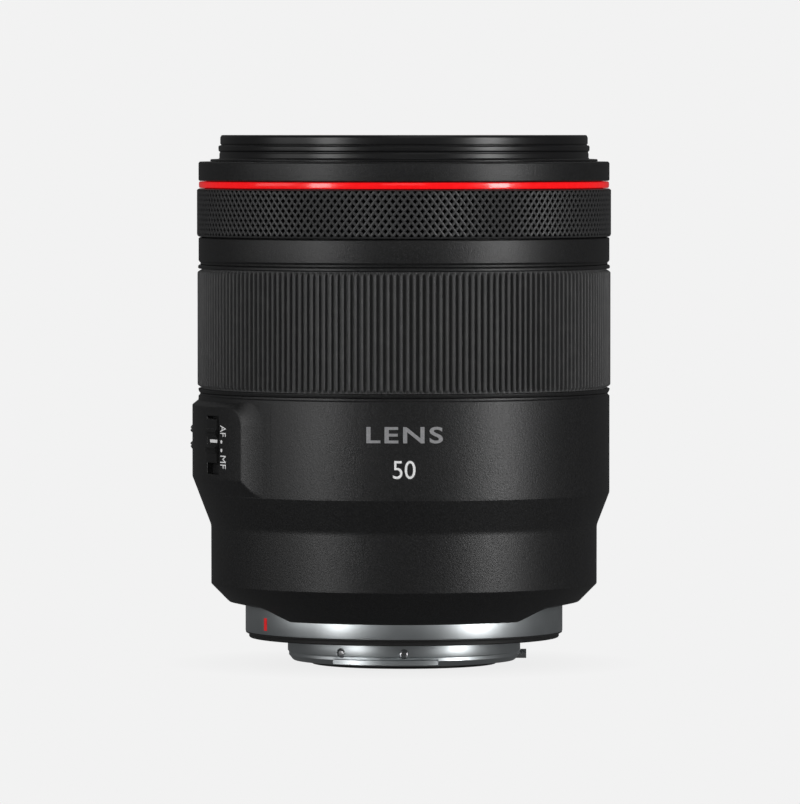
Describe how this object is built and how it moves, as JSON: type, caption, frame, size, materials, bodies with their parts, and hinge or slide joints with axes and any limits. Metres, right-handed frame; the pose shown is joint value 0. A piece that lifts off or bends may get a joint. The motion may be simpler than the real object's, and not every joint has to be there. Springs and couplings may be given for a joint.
{
  "type": "prime camera lens",
  "caption": "Autofocus prime camera lens with a bayonet mount, knurled control ring, ribbed focus ring, red accent ring, side switches and a working iris.",
  "frame": {"origin": "centre of the bayonet seat plane, on the optical axis", "axes": "+Z along the optical axis towards the front element; -Y towards the side with the focal length figures"},
  "size_m": [0.0914, 0.0898, 0.1146],
  "materials": {
    "body_paint": "fine speckled satin black paint on aluminium",
    "control_knurl": "satin black paint on aluminium, diamond knurl",
    "accent_red": "glossy red lacquer on aluminium",
    "grip_rubber": "fine lengthwise ribs",
    "switch_plastic": "matt black",
    "mount_metal": "satin plated",
    "screw_steel": "bright",
    "seal_rubber": "matt",
    "contact_plastic": "matt",
    "contact_gold": "gold plated",
    "baffle_black": "anti-reflection black",
    "board_green": "solder mask",
    "flex_amber": "polyimide film",
    "barrel_alloy": "turned",
    "spring_steel": "bright",
    "piezo_ceramic": "sintered",
    "stator_bronze": "machined",
    "roller_brass": "turned",
    "iris_ring_steel": "stamped",
    "motor_steel": "drawn can",
    "blade_black": "satin dry lubricant",
    "lens_glass": "polished, multi-coated"
  },
  "bodies": {
    "barrel": {"front_ring": "body_paint", "front_barrel": "body_paint", "accent_ring": "accent_red", "mid_barrel": "body_paint", "rear_barrel": "body_paint", "switch_panel": "body_paint", "mount_ring": "mount_metal", "mount_screws": "screw_steel", "mount_gasket": "seal_rubber", "stop_pin": "screw_steel", "bayonet_screws": "screw_steel", "contact_block": "contact_plastic", "contact_pins": "contact_gold", "rear_baffle": "baffle_black", "case_screws": "screw_steel", "rear_cell": "baffle_black", "rear_doublet": "lens_glass", "rear_element": "lens_glass", "main_board": "board_green", "flex_cable": "flex_amber", "guide_barrel": "barrel_alloy", "usm_housing": "barrel_alloy", "wave_spring": "spring_steel", "piezo_ring": "piezo_ceramic", "usm_stator": "stator_bronze", "detent_ball": "spring_steel", "detent_spring": "spring_steel"},
    "control": {"control_ring": "control_knurl"},
    "focus": {"focus_ring": "body_paint", "focus_grip": "grip_rubber"},
    "mode_slider": {"focus_mode_switch": "switch_plastic"},
    "limit_slider": {"limiter_switch": "switch_plastic"},
    "cam": {"cam_barrel": "barrel_alloy", "usm_rotor": "barrel_alloy"},
    "lens_group": {"front_cell": "baffle_black", "name_ring": "baffle_black", "front_element": "lens_glass", "front_doublet": "lens_glass", "third_element": "lens_glass", "stop_doublet": "lens_glass", "stop_cell": "baffle_black", "iris_housing": "baffle_black", "iris_motor": "motor_steel", "cam_rollers": "roller_brass", "relay_cell": "baffle_black", "relay_triplet": "lens_glass", "relay_element": "lens_glass", "relay_doublet": "lens_glass"},
    "aperture_ring": {"iris_drive_ring": "iris_ring_steel"},
    "aperture_pinion": {"iris_pinion": "roller_brass"},
    "blade_01": {"iris_blade_01": "blade_black"},
    "blade_02": {"iris_blade_02": "blade_black"},
    "blade_03": {"iris_blade_03": "blade_black"},
    "blade_04": {"iris_blade_04": "blade_black"},
    "blade_05": {"iris_blade_05": "blade_black"},
    "blade_06": {"iris_blade_06": "blade_black"},
    "blade_07": {"iris_blade_07": "blade_black"},
    "blade_08": {"iris_blade_08": "blade_black"},
    "blade_09": {"iris_blade_09": "blade_black"},
    "blade_10": {"iris_blade_10": "blade_black"}
  },
  "joints": [
    {"name": "control_ring_turn", "type": "hinge", "parent": "barrel", "child": "control", "pos_m": [0, 0, 0.0912], "axis": [0, 0, 1], "continuous": true},
    {"name": "focus_ring_turn", "type": "hinge", "parent": "barrel", "child": "focus", "pos_m": [0, 0, 0.0661], "axis": [0, 0, 1], "continuous": true},
    {"name": "mode_switch_slide", "type": "slide", "parent": "barrel", "child": "mode_slider", "axis": [0, 0, -1], "range_m": [0, 0.0019]},
    {"name": "limiter_switch_slide", "type": "slide", "parent": "barrel", "child": "limit_slider", "axis": [0, 0, -1], "range_m": [0, 0.0019]},
    {"name": "cam_barrel_turn", "type": "hinge", "parent": "barrel", "child": "cam", "pos_m": [0, 0, 0.05], "axis": [0, 0, 1], "range_deg": [0, 36]},
    {"name": "lens_group_slide", "type": "slide", "parent": "barrel", "child": "lens_group", "axis": [0, 0, 1], "range_m": [0, 0.008]},
    {"name": "aperture_ring_turn", "type": "hinge", "parent": "lens_group", "child": "aperture_ring", "pos_m": [0, 0, 0.0446], "axis": [0, 0, 1], "range_deg": [0, 20]},
    {"name": "aperture_pinion_turn", "type": "hinge", "parent": "lens_group", "child": "aperture_pinion", "pos_m": [-0.03092, -0.01125, 0.0446], "axis": [0, 0, 1], "range_deg": [-357, 0]},
    {"name": "blade_01_turn", "type": "hinge", "parent": "lens_group", "child": "blade_01", "pos_m": [0.0273, 0, 0.0432], "axis": [0, 0, 1], "range_deg": [0, 40]},
    {"name": "blade_02_turn", "type": "hinge", "parent": "lens_group", "child": "blade_02", "pos_m": [0.02209, 0.01605, 0.0432], "axis": [0, 0, 1], "range_deg": [0, 40]},
    {"name": "blade_03_turn", "type": "hinge", "parent": "lens_group", "child": "blade_03", "pos_m": [0.00844, 0.02596, 0.0432], "axis": [0, 0, 1], "range_deg": [0, 40]},
    {"name": "blade_04_turn", "type": "hinge", "parent": "lens_group", "child": "blade_04", "pos_m": [-0.00844, 0.02596, 0.0432], "axis": [0, 0, 1], "range_deg": [0, 40]},
    {"name": "blade_05_turn", "type": "hinge", "parent": "lens_group", "child": "blade_05", "pos_m": [-0.02209, 0.01605, 0.0432], "axis": [0, 0, 1], "range_deg": [0, 40]},
    {"name": "blade_06_turn", "type": "hinge", "parent": "lens_group", "child": "blade_06", "pos_m": [-0.0273, 0, 0.0432], "axis": [0, 0, 1], "range_deg": [0, 40]},
    {"name": "blade_07_turn", "type": "hinge", "parent": "lens_group", "child": "blade_07", "pos_m": [-0.02209, -0.01605, 0.0432], "axis": [0, 0, 1], "range_deg": [0, 40]},
    {"name": "blade_08_turn", "type": "hinge", "parent": "lens_group", "child": "blade_08", "pos_m": [-0.00844, -0.02596, 0.0432], "axis": [0, 0, 1], "range_deg": [0, 40]},
    {"name": "blade_09_turn", "type": "hinge", "parent": "lens_group", "child": "blade_09", "pos_m": [0.00844, -0.02596, 0.0432], "axis": [0, 0, 1], "range_deg": [0, 40]},
    {"name": "blade_10_turn", "type": "hinge", "parent": "lens_group", "child": "blade_10", "pos_m": [0.02209, -0.01605, 0.0432], "axis": [0, 0, 1], "range_deg": [0, 40]}
  ],
  "couplings": [
    {"joint": "lens_group_slide", "follows": "cam_barrel_turn", "m_per_rad": 0.01273},
    {"joint": "aperture_pinion_turn", "follows": "aperture_ring_turn", "ratio": -17.8},
    {"joint": "blade_01_turn", "follows": "aperture_ring_turn", "ratio": 2},
    {"joint": "blade_02_turn", "follows": "aperture_ring_turn", "ratio": 2},
    {"joint": "blade_03_turn", "follows": "aperture_ring_turn", "ratio": 2},
    {"joint": "blade_04_turn", "follows": "aperture_ring_turn", "ratio": 2},
    {"joint": "blade_05_turn", "follows": "aperture_ring_turn", "ratio": 2},
    {"joint": "blade_06_turn", "follows": "aperture_ring_turn", "ratio": 2},
    {"joint": "blade_07_turn", "follows": "aperture_ring_turn", "ratio": 2},
    {"joint": "blade_08_turn", "follows": "aperture_ring_turn", "ratio": 2},
    {"joint": "blade_09_turn", "follows": "aperture_ring_turn", "ratio": 2},
    {"joint": "blade_10_turn", "follows": "aperture_ring_turn", "ratio": 2}
  ]
}
